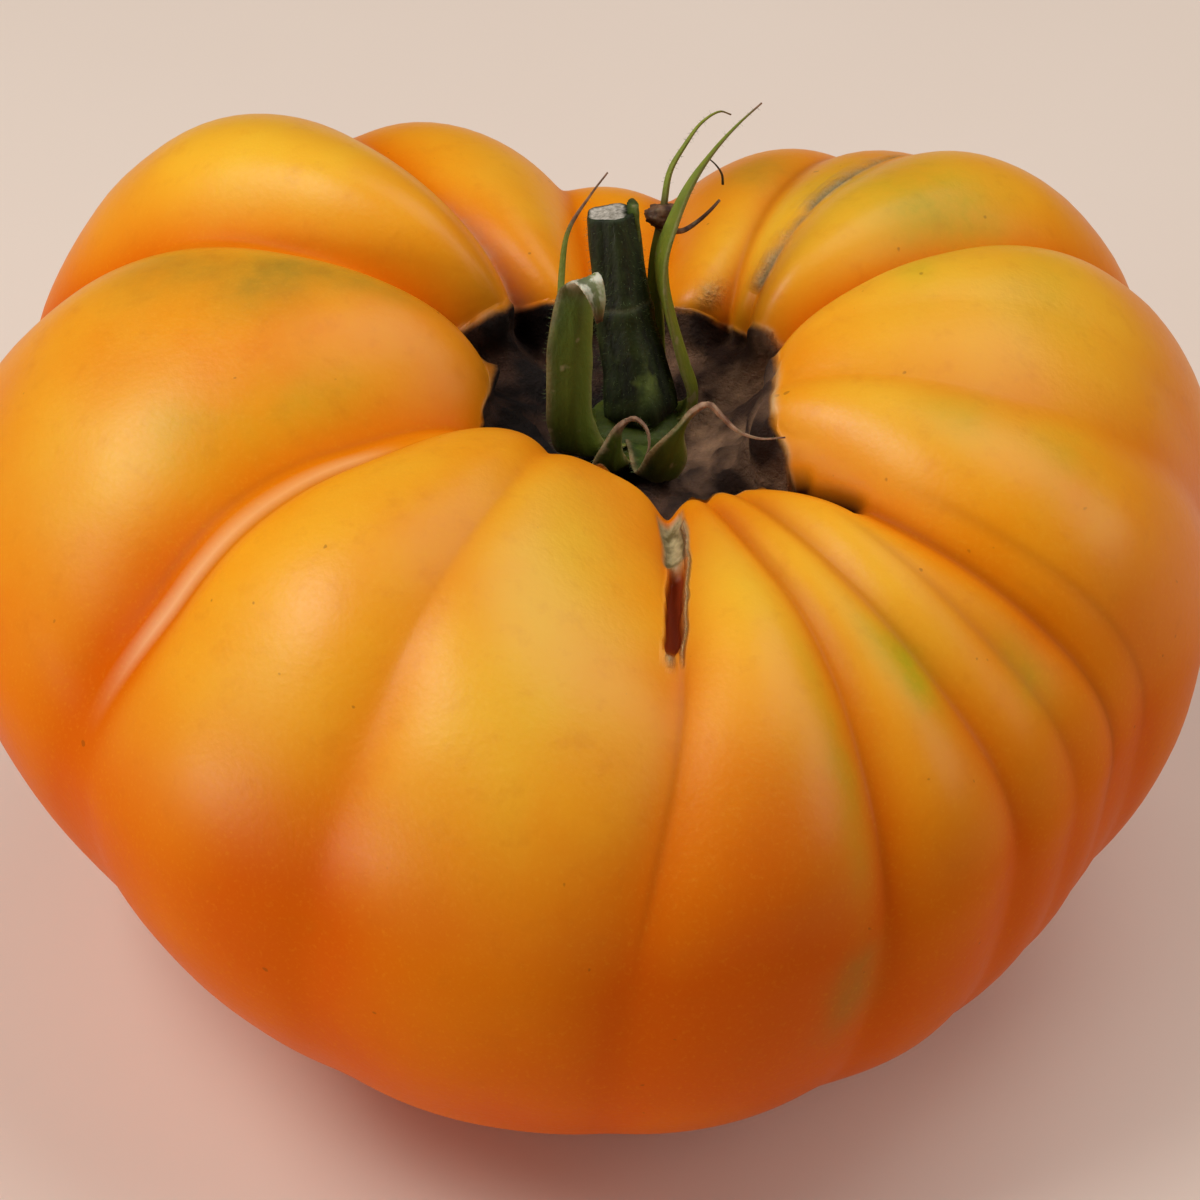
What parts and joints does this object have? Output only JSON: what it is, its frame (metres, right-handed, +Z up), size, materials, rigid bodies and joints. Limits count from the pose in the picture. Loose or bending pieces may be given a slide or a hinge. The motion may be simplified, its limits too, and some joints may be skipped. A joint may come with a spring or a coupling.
{
  "type": "tomato",
  "caption": "Large ribbed beefsteak tomato with deep creases between its lobes, a sunken stem cavity, a cut stem and curled dried sepals; it rests on a small flat spot.",
  "frame": {"origin": "centre of the small flat spot on the underside that the fruit rests on", "axes": "+Z up; the front of the fruit, with its many small lobes, faces -Y; +X is its right side seen from the front"},
  "size_m": [0.1211, 0.1097, 0.0806],
  "materials": {
    "skin": "waxy satin skin, orange, golden near the stem cavity, with green streaks on the shoulders",
    "calyx": "dull green, wilted, with dry tan edges and brown thread tips",
    "stem": "dull dark green with a pale cut face"
  },
  "bodies": {
    "root": {"fruit": "skin", "calyx": "calyx", "stem": "stem"}
  },
  "joints": []
}
